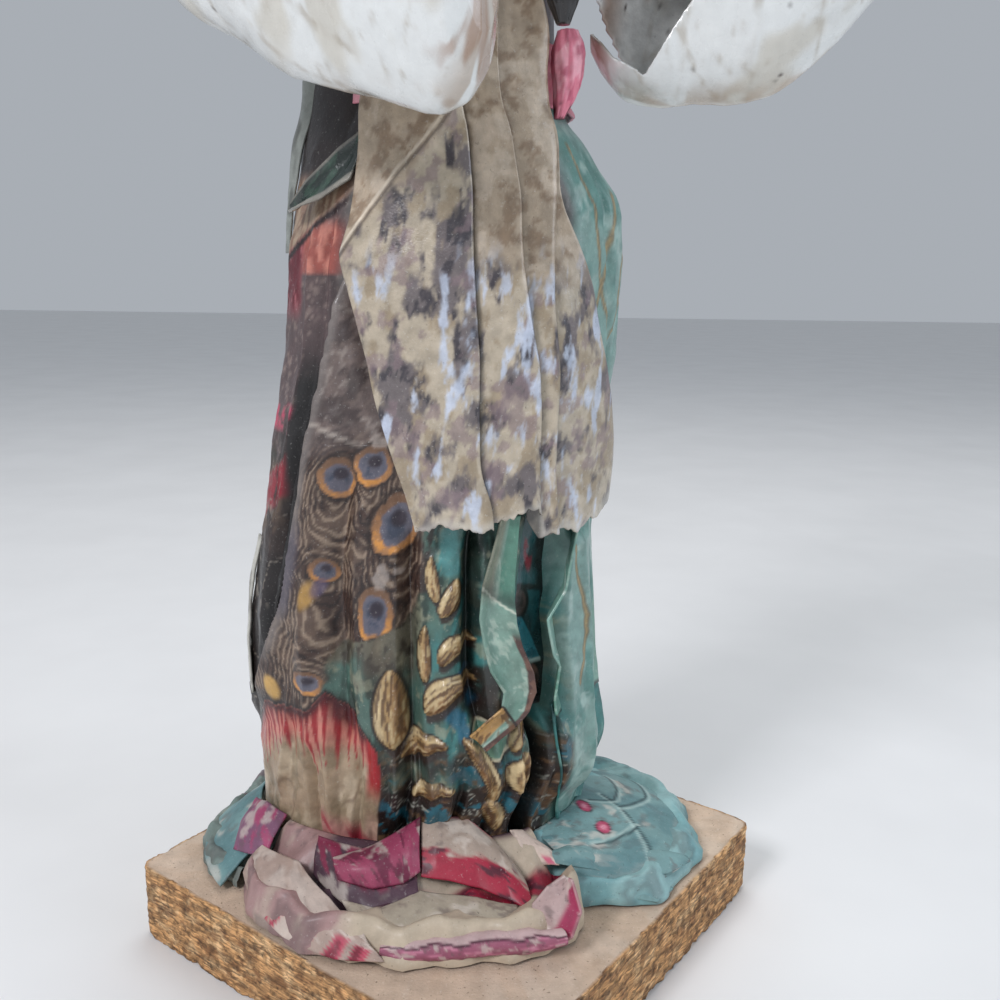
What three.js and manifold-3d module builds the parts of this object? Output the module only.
// A papier-mache lady on a chipboard plinth: glue-dipped printed paper draped as a robe, an apron,
// bag sleeves and a trailing hem. Lengths are millimetres, angles are degrees, +Z is up, the figure
// faces -Y, and the origin is the middle of the plinth's underside.

import * as THREE from 'three';
import { mergeVertices } from 'three/addons/utils/BufferGeometryUtils.js';
import Module from 'manifold-3d';

const wasm = await Module();
wasm.setup();

// ---------------------------------------------------------------- driving dimensions

const GAP = 0.35;                       // clear space between papers that lie on each other
const PAPER = 1.4;                      // thickness of a stiff, glue-soaked sheet of several layers
const PLINTH = { side: 100, thickness: 17, turn: 53.5, corner: 3 };
const FOOT_Z = PLINTH.thickness + GAP;  // where the paper starts, just over the plinth
const WAIST_Z = 187;                    // top of the robe
const HEM_WALL_Z = 30;                  // the robe's foot is straight below this height
const HEM_CLEAR = 0.5;                  // from the robe's foot to the inner side of the hem
const PLEAT_DROP = 1.2;                 // degrees over which a pleat of the apron drops to the next
const ROBE_GRID = { columns: 64, rows: 25 };
const BODICE_COLUMNS = 32;
const HEAD_GRID = { columns: 24, rows: 18 };

// The body under the papers: height, middle x and y, half width and half depth.
const BODY = [
  [17, -8.8, 7, 36.4, 26.9],
  [30, -8.8, 7, 36.4, 26.9],
  [41, -6.6, 7, 39, 28],
  [60, -7.3, 7, 37.4, 28],
  [72, -7.4, 7, 36.6, 27.5],
  [88, -7, 7, 35.2, 27],
  [107, -5.2, 6.5, 34.2, 26.5],
  [128, -2.2, 6, 33.4, 26],
  [147, -1.5, 5.5, 33, 25.5],
  [158, -0.6, 5, 31.4, 24.5],
  [169, -1, 4.5, 26.5, 22.5],
  [174, -2, 4.2, 22.5, 20],
  [180, -2, 4, 20.5, 18.4],
  [187, -1.5, 4, 19.5, 17.2],
  [198, -1, 3.5, 18.5, 15.2],
  [215, -0.5, 2.5, 21.8, 16.4],
  [227, 0, 2, 24.2, 15.6],
  [234, 0, 2, 24, 13.5],
  [240, 0, 2.5, 19, 11.5],
  [245, 0, 3, 9.6, 8.6],
];

// Folds of the robe: rows of height, angle round the body from the front towards +X, and how far the
// paper stands out there (in, when negative). A fold is a ridge of the half width given in degrees;
// where it names an edge, it is a sheet that drops off steeply on that side, -1 towards -X.
const ROBE_FOLDS = [
  { name: 'front sheet', edge: -1, width: 26,
    path: [[66, -64, 3], [74, -53, 4], [85, -46, 4.4], [110, -46, 4.2], [128, -42, 3.6], [145, -36, 2.4]] },
  { name: 'left side ridge', width: 12, path: [[52, -88, 0.8], [90, -80, 1.4], [150, -74, 1.4]] },
  { name: 'standing paper edge', width: 7, path: [[46, -98, 4.4], [64, -96, 4.2], [86, -92, 2.6]] },
  { name: 'open flap at the waist', width: 34,
    path: [[150, -84, 0.6], [158, -84, 1.4], [169, -84, 4.4], [174, -84, 6.4], [181, -84, 7.4]] },
  { name: 'feather ridge', width: 8, path: [[50, -38, 2.6], [80, -36, 2.8], [112, -33, 2]] },
  { name: 'feather groove', width: 6, path: [[52, -25, -3], [80, -26, -3.2], [104, -24, -2.2]] },
  { name: 'middle ridge', width: 8, path: [[36, -12, 2.2], [70, -15, 2.2], [98, -17, 1.4]] },
  { name: 'middle groove', width: 6, path: [[30, -4, -3.6], [60, -2, -4], [90, -5, -3]] },
  { name: 'leaf ridge', width: 7, path: [[32, 6, 2.4], [60, 8, 2.4], [90, 6, 1.8]] },
  { name: 'winding fold', width: 9,
    path: [[46, 18, 4], [52, 18, 5.4], [58, 27, 6], [62, 31, 6], [72, 26, 5.6], [97, 26, 4.8]] },
  { name: 'deep recess', width: 11, path: [[28, 37, -6], [45, 38, -9], [55, 40, -9], [75, 41, -9], [98, 45, -8]] },
  { name: 'right fold', edge: -1, width: 34,
    path: [[32, 48, 2], [45, 46, 3.4], [55, 46, 3.4], [64, 50, 3.4], [75, 47, 3.2], [84, 53, 2.6], [94, 54, 2]] },
  { name: 'hip corner', width: 20, path: [[122, 88, 1], [148, 84, 1.6], [160, 78, 1.8]] },
  { name: 'right side groove', width: 10, path: [[36, 98, -2.4], [90, 104, -2.4], [150, 100, -1.6]] },
];
const FOLD_FADE = 8;                    // a fold dies away over this height past both ends
const EDGE_WIDTH = 4;                   // degrees over which a sheet's edge drops
const BACK_FOLDS = { from: 104, full: 122, pitch: 30, slant: 0.16, height: 2.3 };
const CRUMPLE = 0.36;

// The apron's folded panels: rows of height and angle of each fold line, from its left edge over.
const APRON_TOP_Z = 212;
const APRON_LEFT = [[95, -1], [104, -6], [121, -19], [139, -30], [146, -35], [157, -33], [175, -37],
  [187, -33], [212, -24]];
const APRON_FOLD_1 = [[94, 20], [101, 19], [108, 14.5], [124, 11], [143, 8], [157, 6], [187, 5], [212, 3]];
const APRON_FOLD_2 = [[94, 34], [118, 30.5], [127, 28], [135, 25], [147, 21.5], [158, 20], [187, 19], [212, 12]];
const APRON_FOLD_3 = [[94, 41], [108, 38], [124, 36], [140, 32.4], [158, 32], [168, 37], [175, 40],
  [187, 44], [212, 25.6]];
const APRON_RIGHT = [[94, 64], [98, 70], [108, 76], [120, 66], [126, 60], [134, 54], [142, 50], [149, 44],
  [158, 34.4], [168, 39.4], [175, 42], [187, 46], [212, 28]];
const APRON_PANELS = [
  { left: APRON_LEFT, right: APRON_FOLD_1, columns: 5, rise: [0.2, 1.8] },
  { left: APRON_FOLD_1, right: APRON_FOLD_2, columns: 4, rise: [0.2, 2.6] },
  { left: APRON_FOLD_2, right: APRON_FOLD_3, columns: 2, rise: [0.1, 2.0] },
  { left: APRON_FOLD_3, right: APRON_RIGHT, columns: 4, rise: [0.4, 1.0] },
];
const APRON_TORN_EDGE = [[-1, 95.6], [6, 97.4], [14, 96.2], [20, 97], [27, 98.4], [33, 100.4], [36, 94],
  [45, 95.2], [52, 94.2], [62, 97.5], [70, 100]];
const APRON_ROWS = 16;
const APRON_OFF = [[94, 3.2], [110, 2.2], [150, 0.7], [168, 0.9], [174, 3.1], [200, 3.1], [212, 0.8]];

const SASH = { bottom: 175, top: 186.6, clear: 0.7, thickness: 1.6, swell: 0.3, from: -48, to: 236, columns: 28 };
const KNOT = [                          // height, x, y, half width, half depth
  [172.3, 18.4, -12.8, 0.9, 0.9],
  [175, 19.1, -12.4, 1.9, 2.1],
  [179, 19.9, -11.2, 2.7, 3.2],
  [183, 20.1, -10.4, 3.1, 3.6],
  [186, 20.1, -10, 2.9, 3.2],
  [188, 19.9, -10, 1.8, 2.2],
];

// The trailing hem round the foot: reach from the foot's wall, by angle, and heights over the plinth.
const HEMS = {
  hem_left: { from: -100, to: -47.4, columns: 11, wall: 8, flat: 3, roll: 0.6,
    reach: [[-100, 9], [-85, 12], [-73, 14.2], [-61, 14.4], [-47.4, 13]] },
  hem_front: { from: -47, to: 41, columns: 22, wall: 11.5, flat: 5, roll: 2.2,
    reach: [[-47, 11], [-40, 15], [-33, 18.9], [-20, 21.5], [-10, 23.2], [0, 24], [14, 24.1],
      [25, 25.4], [33, 23.8], [38, 20], [41, 16]] },
  hem_right: { from: 41.4, to: 130, columns: 20, wall: 10, flat: 4, roll: 1.2,
    reach: [[41.4, 15], [47, 17.4], [55, 26.1], [61, 24.7], [68, 26.2], [76, 28], [85, 27.3],
      [104, 25.9], [118, 21.9], [130, 17]] },
  hem_back: { from: 130.4, to: 259.6, columns: 20, wall: 9, flat: 2.2, roll: 0.8,
    reach: [[130.4, 14], [150, 11], [165, 12.5], [180, 10], [200, 12], [220, 10.5], [240, 13],
      [259.6, 8.6]] },
};
const HEM_STEPS = 7;
const HEM_CREASE = 1.5;
const HEM_WANDER = 1.1;
const HEM_TIP = { angle: 36, width: 7, height: 5.5 };

// Bag sleeves: each station gives the lowest point, the highest point and the half thickness.
const SLEEVE_SIDES = 12;
const SLEEVE_WOBBLE = 0.8;
const RIGHT_BAG = [
  [[24.2, -4, 186.5], [25.8, 2, 238.8], 6.5],
  [[28, -5, 180.2], [33.5, 1, 238.6], 9.5],
  [[34, -6, 176.4], [42, 0, 232.5], 11.5],
  [[45, -6, 175], [52, -2, 226.5], 12.5],
  [[59, -7, 178.2], [64, -5, 224], 12],
  [[70, -8, 187.6], [74, -8, 225], 10.5],
  [[77, -9, 195.5], [84, -11, 227.5], 9],
  [[88, -12, 206], [93, -14, 229.5], 7],
  [[98, -15, 215], [100, -16, 230], 5],
];
const RIGHT_MOUTH = {                   // the open front corner of the bag, in X and Z
  outline: [[18, 190.5], [24, 188.5], [28, 183.5], [34, 180], [37.5, 186], [43, 194.5], [46, 203],
    [30, 207], [18, 207]],
  front: -40, back: 2.5,
};
const LEFT_BAG = [
  [[-52, -13, 199], [-51, -13, 220], 5],
  [[-45, -19, 187.6], [-46, -18, 225], 9.5],
  [[-33, -28, 179], [-35, -26, 224], 11.5],
  [[-20, -37, 173], [-22, -36, 220], 11.5],
  [[-7, -48, 168.7], [-10, -45, 216], 10.5],
  [[2.5, -56.5, 167.6], [0, -53.5, 213], 8],
  [[5.6, -59, 178], [5, -57.5, 211], 4.5],
];
const LEFT_UPPER_ARM = [
  [[-26.2, 1, 219], [-25.8, 2, 239.2], 7],
  [[-33, -4, 210], [-36, -1, 239], 9.5],
  [[-40, -10, 203], [-46, -8, 234], 10.5],
  [[-46, -15, 202], [-51, -13, 226], 8],
];

// Head and neck: height, middle y, half width and half depth.
const HEAD = [
  [245.4, 1.5, 7.2, 7.2],
  [251, 0.5, 6.5, 6.8],
  [256, -0.5, 6.9, 7.4],
  [258.5, -2.5, 7.6, 9.6],
  [262, -2.5, 9.6, 11.6],
  [267, -2, 11.4, 13],
  [273, -1.5, 12.4, 13.8],
  [280, -1, 12.6, 14.2],
  [286, -0.5, 11.2, 12.8],
  [290, 0, 8.2, 9.6],
  [292.6, 0, 3, 4],
];
const NOSE = { z: 270, height: 2.4, length: 9, width: 11 };
const HAIR = {
  centre: [0, 1.2, 277.5], radii: [14.8, 16.6, 17.4],
  face: { centre: [0, -14, 266.5], radii: [11.6, 14, 19] },
};
const BUN = { centre: [0, 7.5, 293.2], radii: [8.4, 8.4, 7.6] };
const TRESS = [                         // a long lock before the shoulder: height, x, y, half sizes
  [263.4, 13.4, -1.4, 2.9, 3.4],
  [255, 15.6, -5, 3.3, 3.4],
  [244, 16.8, -9, 3.7, 3.1],
  [233, 17.8, -12, 4, 3],
  [221, 18.4, -15.4, 4.2, 3],
  [210, 18.6, -18.4, 4.2, 3],
  [196, 18.4, -18.2, 4, 2.8],
  [189.6, 18.4, -17.6, 2.6, 2.2],
  [187.4, 18.6, -17.4, 0.8, 0.9],
];
const HANDS = {
  hand_left: { wrist: [6.8, -59.6, 199], tip: [17.5, -67.5, 203], width: 4.2, thickness: 2.3 },
  hand_right: { wrist: [101.2, -16.1, 223.6], tip: [112.4, -19, 231.2], width: 4.2, thickness: 2.3 },
};

const COLOURS = {
  chipboard: 0xb88a5c, robe: 0x5d5f55, teal: 0x6f9c95, iris: 0xb08a84, plum: 0x5b4650,
  apron: 0xb6a28b, pink: 0xd97f92, white: 0xdcdcd8, black: 0x1c1b1d, skin: 0xd9bfa6,
};

// ---------------------------------------------------------------- numbers

const radians = (degrees) => (degrees * Math.PI) / 180;
const clamp = (value, low = 0, high = 1) => Math.min(Math.max(value, low), high);
const mix = (from, to, share) => from + (to - from) * share;
const smooth = (share) => { const t = clamp(share); return t * t * (3 - 2 * t); };
const wave = (turns) => 4 * Math.abs(turns - Math.floor(turns + 0.5)) - 1;

// A column of a table at a position between its rows, held level past both ends.
function tableAt(rows, position, column = 1) {
  const last = rows.length - 1;
  if (position <= rows[0][0]) return rows[0][column];
  if (position >= rows[last][0]) return rows[last][column];
  const next = rows.findIndex((row) => row[0] > position);
  const [low, high] = [rows[next - 1], rows[next]];
  return mix(low[column], high[column], (position - low[0]) / (high[0] - low[0]));
}

// A repeatable number from -1 to 1 for a vertex of crumpled paper.
function jitter(i, j) {
  const spun = Math.sin(i * 127.1 + j * 311.7) * 43758.5453;
  return 2 * (spun - Math.floor(spun)) - 1;
}

// ---------------------------------------------------------------- closed surfaces

function geometryOf(vertices, triangles) {
  const geometry = new THREE.BufferGeometry();
  geometry.setAttribute('position', new THREE.Float32BufferAttribute(vertices.flat(), 3));
  geometry.setIndex(triangles.flat());
  return geometry;
}

// Joins rings of equal length into a closed solid with a fan over each end. Seen from the last ring,
// each ring runs anticlockwise.
function loft(rings) {
  const count = rings[0].length;
  const vertices = rings.flat();
  const triangles = [];
  for (let row = 0; row + 1 < rings.length; row += 1) {
    for (let i = 0; i < count; i += 1) {
      const j = (i + 1) % count;
      const [a, b, c, d] = [row * count + i, row * count + j, (row + 1) * count + j, (row + 1) * count + i];
      triangles.push([a, b, c], [a, c, d]);
    }
  }
  const middle = (ring) => [0, 1, 2].map((k) => ring.reduce((sum, p) => sum + p[k], 0) / count);
  const first = vertices.push(middle(rings[0])) - 1;
  const final = vertices.push(middle(rings.at(-1))) - 1;
  const top = (rings.length - 1) * count;
  for (let i = 0; i < count; i += 1) {
    const j = (i + 1) % count;
    triangles.push([first, j, i], [final, top + i, top + j]);
  }
  return geometryOf(vertices, triangles);
}

// A loft between sections that aren't rings round +Z: turned inside out when its volume is negative.
function outward(geometry) {
  const position = geometry.getAttribute('position');
  const index = Array.from(geometry.index.array);
  const corners = [new THREE.Vector3(), new THREE.Vector3(), new THREE.Vector3()];
  let volume = 0;
  for (let i = 0; i < index.length; i += 3) {
    corners.forEach((corner, k) => corner.fromBufferAttribute(position, index[i + k]));
    volume += corners[0].dot(corners[1].clone().cross(corners[2]));
  }
  if (volume < 0) {
    for (let i = 0; i < index.length; i += 3) [index[i], index[i + 1]] = [index[i + 1], index[i]];
    geometry.setIndex(index);
  }
  return geometry;
}

// ---------------------------------------------------------------- manifold solids

function toSolid(geometry) {
  const bare = geometry.clone();
  bare.deleteAttribute('normal');
  bare.deleteAttribute('uv');
  const merged = mergeVertices(bare, 1e-5);
  return new wasm.Manifold(new wasm.Mesh({
    numProp: 3,
    vertProperties: new Float32Array(merged.getAttribute('position').array),
    triVerts: new Uint32Array(merged.index.array),
  }));
}

function fromSolid(solid) {
  const { vertProperties, triVerts } = solid.getMesh();
  const geometry = new THREE.BufferGeometry();
  geometry.setAttribute('position', new THREE.Float32BufferAttribute(vertProperties, 3));
  geometry.setIndex(Array.from(triVerts));
  return geometry;
}

// ---------------------------------------------------------------- body and robe

function bodyAt(z) {
  const [x, y, a, b] = [1, 2, 3, 4].map((column) => tableAt(BODY, z, column));
  return { x, y, a, b };
}

function onBody(angle, z, out) {
  const { x, y, a, b } = bodyAt(z);
  return [x + (a + out) * Math.sin(radians(angle)), y - (b + out) * Math.cos(radians(angle)), z];
}

// How far one fold lifts the paper at an angle and a height.
function foldLift({ edge, width, path }, angle, z) {
  const life = clamp(Math.min(z - path[0][0], path.at(-1)[0] - z) / FOLD_FADE + 1);
  const side = angle - tableAt(path, z);
  const reach = edge && side * edge > 0 ? EDGE_WIDTH : width;
  return tableAt(path, z, 2) * life * clamp(1 - Math.abs(side) / reach);
}

// 1 where the apron lies on the robe, 0 where the robe is free, with a soft rim round the apron.
function underApron(angle, z) {
  const inside = Math.min(angle - tableAt(APRON_LEFT, z), tableAt(APRON_RIGHT, z) - angle, z - 96);
  return z < APRON_TOP_Z ? clamp(inside / 4 + 1.5) : 0;
}

// How far the robe stands off the body: its folds, the plain pleats of the back and the crumpling.
// Nothing stands out under the apron, under the sash or behind the trailing hem.
function robeOut(angle, z) {
  const folds = ROBE_FOLDS.reduce((sum, fold) => sum + foldLift(fold, angle, z), 0);
  const back = smooth((Math.abs(angle) - BACK_FOLDS.from) / (BACK_FOLDS.full - BACK_FOLDS.from));
  const turns = ((angle + 360) % 360 + BACK_FOLDS.slant * z) / BACK_FOLDS.pitch;
  const pleats = back * smooth((SASH.bottom - z) / 40) * BACK_FOLDS.height * wave(turns);
  const crumple = CRUMPLE * (wave(angle / 36 + z / 23) + wave(angle / 45 - z / 17 + 0.3));
  const out = folds + pleats + crumple * smooth((SASH.bottom - z) / 10);
  const free = (1 - underApron(angle, z)) * smooth((z - HEM_WALL_Z) / 8);
  return Math.min(out, 0) + Math.max(out, 0) * free;
}

function robe() {
  const rings = [];
  for (let row = 0; row <= ROBE_GRID.rows; row += 1) {
    const z = mix(FOOT_Z, WAIST_Z, row / ROBE_GRID.rows);
    rings.push(Array.from({ length: ROBE_GRID.columns }, (_, i) => {
      const angle = -180 + (360 * i) / ROBE_GRID.columns;
      return onBody(angle, z, robeOut(angle, z));
    }));
  }
  return loft(rings);
}

function bodice() {
  const heights = BODY.map((row) => row[0]).filter((z) => z > WAIST_Z);
  const rings = [WAIST_Z + GAP, ...heights].map((z) => Array.from({ length: BODICE_COLUMNS }, (_, i) =>
    onBody(-180 + (360 * i) / BODICE_COLUMNS, z, 0)));
  return loft(rings);
}

// ---------------------------------------------------------------- sheets of paper

// A closed sheet between two grids of points of the same size.
function sheet(outer, inner) {
  const [rows, columns] = [outer.length, outer[0].length];
  const front = (r, c) => r * columns + c;
  const back = (r, c) => rows * columns + front(r, c);
  const triangles = [];
  const quad = (a, b, c, d) => triangles.push([a, b, c], [a, c, d]);
  for (let r = 0; r + 1 < rows; r += 1) {
    for (let c = 0; c + 1 < columns; c += 1) {
      quad(front(r, c), front(r, c + 1), front(r + 1, c + 1), front(r + 1, c));
      quad(back(r, c), back(r + 1, c), back(r + 1, c + 1), back(r, c + 1));
    }
  }
  for (let c = 0; c + 1 < columns; c += 1) {
    quad(front(0, c + 1), front(0, c), back(0, c), back(0, c + 1));
    quad(front(rows - 1, c), front(rows - 1, c + 1), back(rows - 1, c + 1), back(rows - 1, c));
  }
  for (let r = 0; r + 1 < rows; r += 1) {
    quad(front(r + 1, columns - 1), front(r, columns - 1), back(r, columns - 1), back(r + 1, columns - 1));
    quad(front(r, 0), front(r + 1, 0), back(r + 1, 0), back(r, 0));
  }
  return outward(geometryOf([...outer.flat(), ...inner.flat()], triangles));
}

// The apron's columns: each panel from its left fold line, a little past the last one, to its right
// one, with the height that the paper has gained on the way.
function apronColumns() {
  return APRON_PANELS.flatMap(({ left, right, columns, rise }, panel) => (
    Array.from({ length: columns + 1 }, (_, i) => {
      const share = i / columns;
      const start = (z) => tableAt(left, z) + (panel > 0 ? PLEAT_DROP : 0);
      return { angle: (z) => mix(start(z), tableAt(right, z), share), lift: mix(...rise, share) };
    })));
}

function apron() {
  const columns = apronColumns();
  const [outer, inner] = [[], []];
  for (let row = 0; row <= APRON_ROWS; row += 1) {
    const place = columns.map(({ angle, lift }) => {
      const torn = tableAt(APRON_TORN_EDGE, angle(APRON_TORN_EDGE[0][1]));
      const z = mix(APRON_TOP_Z, torn, row / APRON_ROWS);
      return { angle: angle(z), z, out: tableAt(APRON_OFF, z), lift };
    });
    inner.push(place.map(({ angle, z, out }) => onBody(angle, z, out)));
    outer.push(place.map(({ angle, z, out, lift }) => onBody(angle, z, out + PAPER + lift)));
  }
  return sheet(outer, inner);
}

// The sash: an open band round the waist that stops on both sides of the robe's flap.
function sash() {
  const grid = (out, swell) => [SASH.bottom, (SASH.bottom + SASH.top) / 2, SASH.top].map((z, row) => (
    Array.from({ length: SASH.columns + 1 }, (_, i) => (
      onBody(mix(SASH.from, SASH.to, i / SASH.columns), z, out + (row === 1 ? swell : 0))))));
  return sheet(grid(SASH.clear + SASH.thickness, SASH.swell), grid(SASH.clear, 0));
}

// ---------------------------------------------------------------- trailing hem

// One radial section of a hem piece, a closed outline from the foot's wall out to the paper's edge.
function hemSection({ wall, flat, roll, reach }, angle) {
  const out = tableAt(reach, angle) + HEM_WANDER * wave(angle / 13) * wave(angle / 37);
  const tip = HEM_TIP.height * clamp(1 - Math.abs(angle - HEM_TIP.angle) / HEM_TIP.width);
  const section = [onBody(angle, FOOT_Z, HEM_CLEAR)];
  for (let step = 0; step <= HEM_STEPS; step += 1) {
    const share = step / HEM_STEPS;
    const slope = mix(wall, flat, smooth(share / 0.55)) * (1 - 0.75 * smooth((share - 0.88) / 0.12));
    const rolled = (roll + tip) * clamp(1 - Math.abs(share - 0.84) / 0.2);
    const creased = HEM_CREASE * wave(angle / 17 + share * 1.3) * Math.sin(Math.PI * share);
    const [x, y] = onBody(angle, FOOT_Z, HEM_CLEAR + out * share);
    section.push([x, y, FOOT_Z + Math.max(slope + rolled + creased, 0.9)]);
  }
  section.push(onBody(angle, FOOT_Z, HEM_CLEAR + out));
  return section;
}

function hem(piece) {
  const { from, to, columns } = piece;
  const sections = Array.from({ length: columns + 1 }, (_, i) => hemSection(piece, mix(from, to, i / columns)));
  return outward(loft(sections));
}

// ---------------------------------------------------------------- sleeves and hands

const vector = (values) => new THREE.Vector3(...values);

// A hanging bag of paper along a row of stations, its flat facets broken up a little.
function bag(stations) {
  const middles = stations.map(([low, high]) => vector(low).add(vector(high)).multiplyScalar(0.5));
  const rings = stations.map(([low, high, half], row) => {
    const before = middles[Math.max(row - 1, 0)];
    const after = middles[Math.min(row + 1, stations.length - 1)];
    const along = after.clone().sub(before).setZ(0).normalize();
    const across = new THREE.Vector3(-along.y, along.x, 0);
    const upright = vector(high).sub(vector(low)).multiplyScalar(0.5);
    return Array.from({ length: SLEEVE_SIDES }, (_, i) => {
      const turn = (2 * Math.PI * i) / SLEEVE_SIDES;
      const fullness = half * (0.88 + 0.12 * Math.cos(turn)) + SLEEVE_WOBBLE * jitter(i, row);
      const lift = -Math.cos(turn) * (1 + 0.02 * jitter(i + 7, row));
      const point = middles[row].clone().addScaledVector(upright, lift);
      return point.addScaledVector(across, Math.sin(turn) * fullness).toArray();
    });
  });
  return outward(loft(rings));
}

function prismXZ({ outline, front, back }) {
  const shape = new THREE.Shape(outline.map(([x, z]) => new THREE.Vector2(x, z)));
  const prism = new THREE.ExtrudeGeometry(shape, { depth: back - front, bevelEnabled: false });
  return prism.rotateX(Math.PI / 2).translate(0, back, 0);
}

const sleeveRight = () => fromSolid(toSolid(bag(RIGHT_BAG)).subtract(toSolid(prismXZ(RIGHT_MOUTH))));
const sleeveLeft = () => fromSolid(toSolid(bag(LEFT_BAG)).add(toSolid(bag(LEFT_UPPER_ARM))));

// A closed hand, its fingers together, from the wrist to the finger tips.
function hand({ wrist, tip, width, thickness }) {
  const along = vector(tip).sub(vector(wrist));
  const across = new THREE.Vector3(0, 0, 1).cross(along).normalize();
  const over = along.clone().cross(across).normalize();
  const profile = [[0, 0.62], [0.25, 0.86], [0.5, 1], [0.75, 0.84], [0.93, 0.5], [1, 0.15]];
  const rings = profile.map(([share, size]) => {
    const middle = vector(wrist).addScaledVector(along, share);
    return Array.from({ length: 10 }, (_, i) => {
      const turn = (2 * Math.PI * i) / 10;
      const point = middle.clone().addScaledVector(across, Math.cos(turn) * thickness * size);
      return point.addScaledVector(over, Math.sin(turn) * width * size).toArray();
    });
  });
  return outward(loft(rings));
}

// ---------------------------------------------------------------- head and hair

function headRing([z, y, a, b], extra) {
  const noseRise = clamp(1 - Math.abs(z - NOSE.z) / (NOSE.length / 2)) * NOSE.height;
  return Array.from({ length: HEAD_GRID.columns }, (_, i) => {
    const share = (2 * i) / HEAD_GRID.columns - 1;
    const angle = 180 * Math.sign(share) * Math.abs(share) ** 1.6;
    const nose = noseRise * clamp(1 - Math.abs(angle) / NOSE.width);
    const [side, ahead] = [Math.sin(radians(angle)), Math.cos(radians(angle))];
    return [(a + extra) * side, y - (b + extra + nose) * ahead, z];
  });
}

function head(extra = 0) {
  const [bottom, top] = [HEAD[0][0], HEAD.at(-1)[0]];
  const rings = Array.from({ length: HEAD_GRID.rows + 1 }, (_, row) => {
    const z = mix(bottom, top, row / HEAD_GRID.rows);
    return headRing([z, ...[1, 2, 3].map((column) => tableAt(HEAD, z, column))], extra);
  });
  if (extra > 0) rings.push(headRing([top + extra, 0, HEAD.at(-1)[2], HEAD.at(-1)[3]], extra));
  return loft(rings);
}

function ball([x, y, z], [rx, ry, rz]) {
  return new THREE.SphereGeometry(1, 16, 10).rotateX(Math.PI / 2).scale(rx, ry, rz).translate(x, y, z);
}

function upright(rows, sides) {
  return loft(rows.map(([z, x, y, a, b]) => Array.from({ length: sides }, (_, i) => {
    const turn = (2 * Math.PI * i) / sides;
    return [x + a * Math.sin(turn), y - b * Math.cos(turn), z];
  })));
}

// The hair: a cap with its face opening and a bun on the crown. Slivers that the cuts leave along the
// hairline are dropped.
function hair() {
  const mass = toSolid(ball(HAIR.centre, HAIR.radii)).add(toSolid(ball(BUN.centre, BUN.radii)));
  const face = toSolid(ball(HAIR.face.centre, HAIR.face.radii));
  const pieces = mass.subtract(face).subtract(toSolid(head(GAP))).decompose();
  return fromSolid(pieces.sort((one, other) => other.volume() - one.volume())[0]);
}

// ---------------------------------------------------------------- plinth and assembly

function plinth() {
  const [half, r] = [PLINTH.side / 2, PLINTH.corner];
  const shape = new THREE.Shape();
  shape.moveTo(half, -half + r);
  [0, 1, 2, 3].forEach((quarter) => {
    const [cos, sin] = [Math.round(Math.cos((quarter * Math.PI) / 2)), Math.round(Math.sin((quarter * Math.PI) / 2))];
    const [x, y] = [half - r, half - r];
    shape.absarc(x * cos - y * sin, x * sin + y * cos, r, (quarter * Math.PI) / 2, ((quarter + 1) * Math.PI) / 2);
  });
  shape.closePath();
  const slab = new THREE.ExtrudeGeometry(shape, { depth: PLINTH.thickness, bevelEnabled: false, curveSegments: 4 });
  return slab.rotateZ(radians(PLINTH.turn));
}

const figure = new THREE.Group();

function add(name, geometry, color, roughness) {
  geometry.computeVertexNormals();
  const material = new THREE.MeshStandardMaterial({ color, roughness, metalness: 0, flatShading: true });
  const mesh = new THREE.Mesh(geometry, material);
  mesh.name = name;
  figure.add(mesh);
}

add('plinth', plinth(), COLOURS.chipboard, 0.85);
add('robe', robe(), COLOURS.robe, 0.4);
add('hem_left', hem(HEMS.hem_left), COLOURS.teal, 0.5);
add('hem_front', hem(HEMS.hem_front), COLOURS.iris, 0.5);
add('hem_right', hem(HEMS.hem_right), COLOURS.teal, 0.5);
add('hem_back', hem(HEMS.hem_back), COLOURS.plum, 0.5);
add('apron', apron(), COLOURS.apron, 0.35);
add('sash', sash(), COLOURS.pink, 0.5);
add('sash_knot', upright(KNOT, 10), COLOURS.pink, 0.5);
add('bodice', bodice(), COLOURS.plum, 0.4);
add('sleeve_right', sleeveRight(), COLOURS.white, 0.3);
add('sleeve_left', sleeveLeft(), COLOURS.white, 0.3);
add('hand_right', hand(HANDS.hand_right), COLOURS.skin, 0.6);
add('hand_left', hand(HANDS.hand_left), COLOURS.skin, 0.6);
add('head', head(), COLOURS.skin, 0.6);
add('hair', hair(), COLOURS.black, 0.25);
add('tress', upright([...TRESS].reverse(), 10), COLOURS.black, 0.25);

export default figure;
